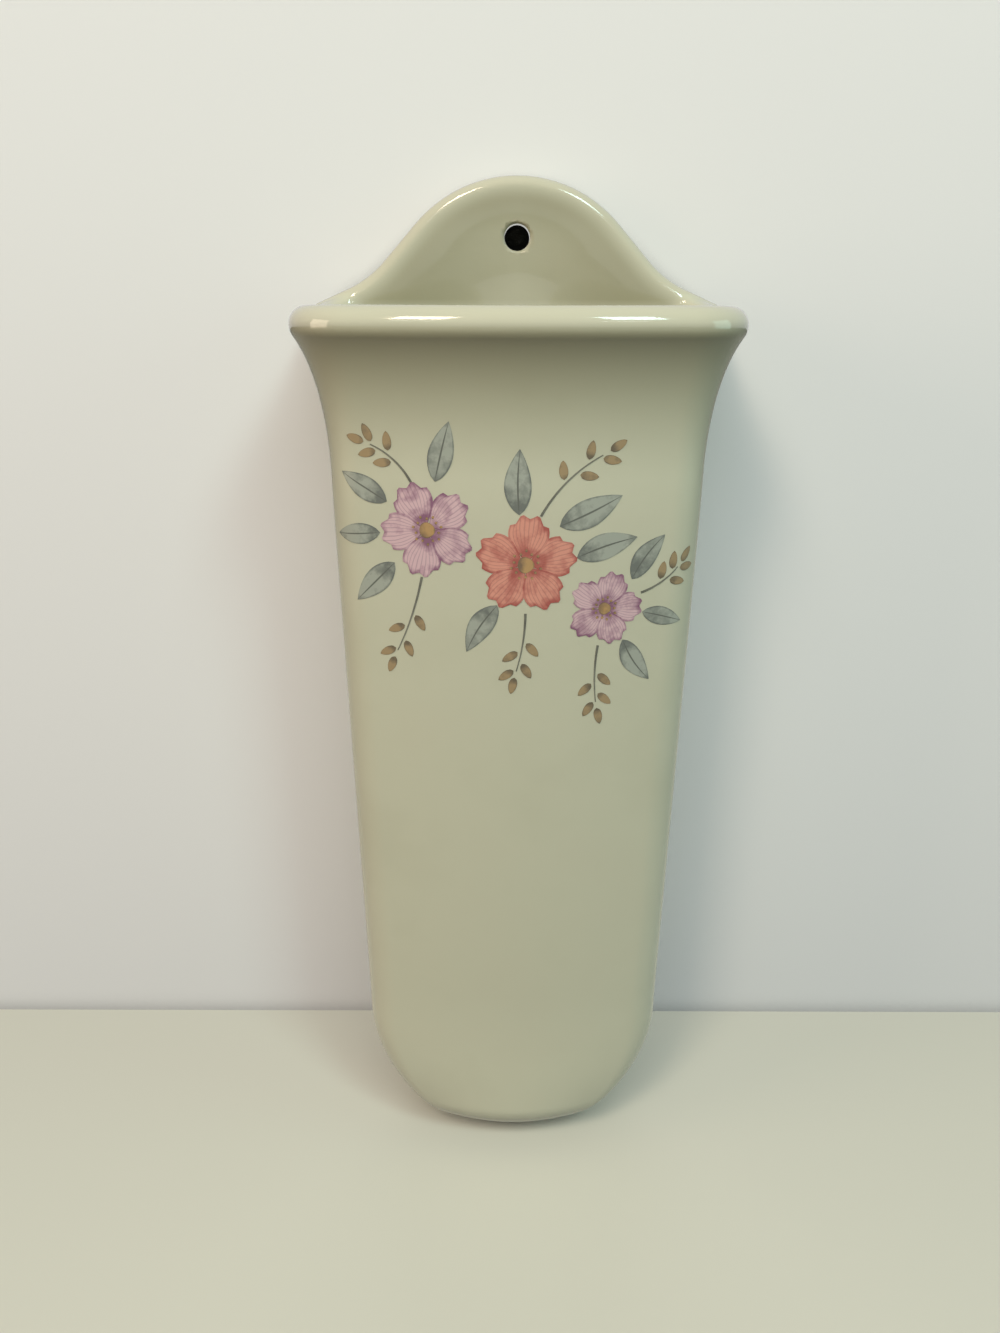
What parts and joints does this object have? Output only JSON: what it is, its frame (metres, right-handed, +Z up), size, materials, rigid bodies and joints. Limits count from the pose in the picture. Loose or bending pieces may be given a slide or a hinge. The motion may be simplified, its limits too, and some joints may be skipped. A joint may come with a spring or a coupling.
{
  "type": "hanging wall vase",
  "caption": "Flat-backed, bow-fronted ceramic wall pocket with a rolled rim, a rounded base and an arched head with a hanging hole, glazed ivory with a sprig of printed blossoms.",
  "frame": {"origin": "on the axis of the hanging hole, at the plane of the wall that the flat back hangs against", "axes": "+Z up, +Y into the wall along the hanging hole, so the bowed front faces -Y; +X to the right as a viewer faces the front"},
  "size_m": [0.1052, 0.06, 0.2664],
  "materials": {
    "ivory_glaze": "glossy ivory glaze over white earthenware",
    "coral_print": "coral enamel print fused under a glossy glaze",
    "mauve_print": "mauve enamel print fused under a glossy glaze",
    "ochre_print": "ochre enamel print fused under a glossy glaze",
    "leaf_print": "grey-green enamel print fused under a glossy glaze",
    "stem_print": "dark grey enamel print fused under a glossy glaze",
    "bud_print": "tan enamel print fused under a glossy glaze"
  },
  "bodies": {
    "root": {"back_plate": "ivory_glaze", "front_wall": "ivory_glaze", "rounded_base": "ivory_glaze", "rolled_rim": "ivory_glaze", "head_roll": "ivory_glaze", "coral_blossom": "coral_print", "mauve_blossoms": "mauve_print", "blossom_centres": "ochre_print", "leaves": "leaf_print", "stems": "stem_print", "seed_buds": "bud_print"}
  },
  "joints": []
}
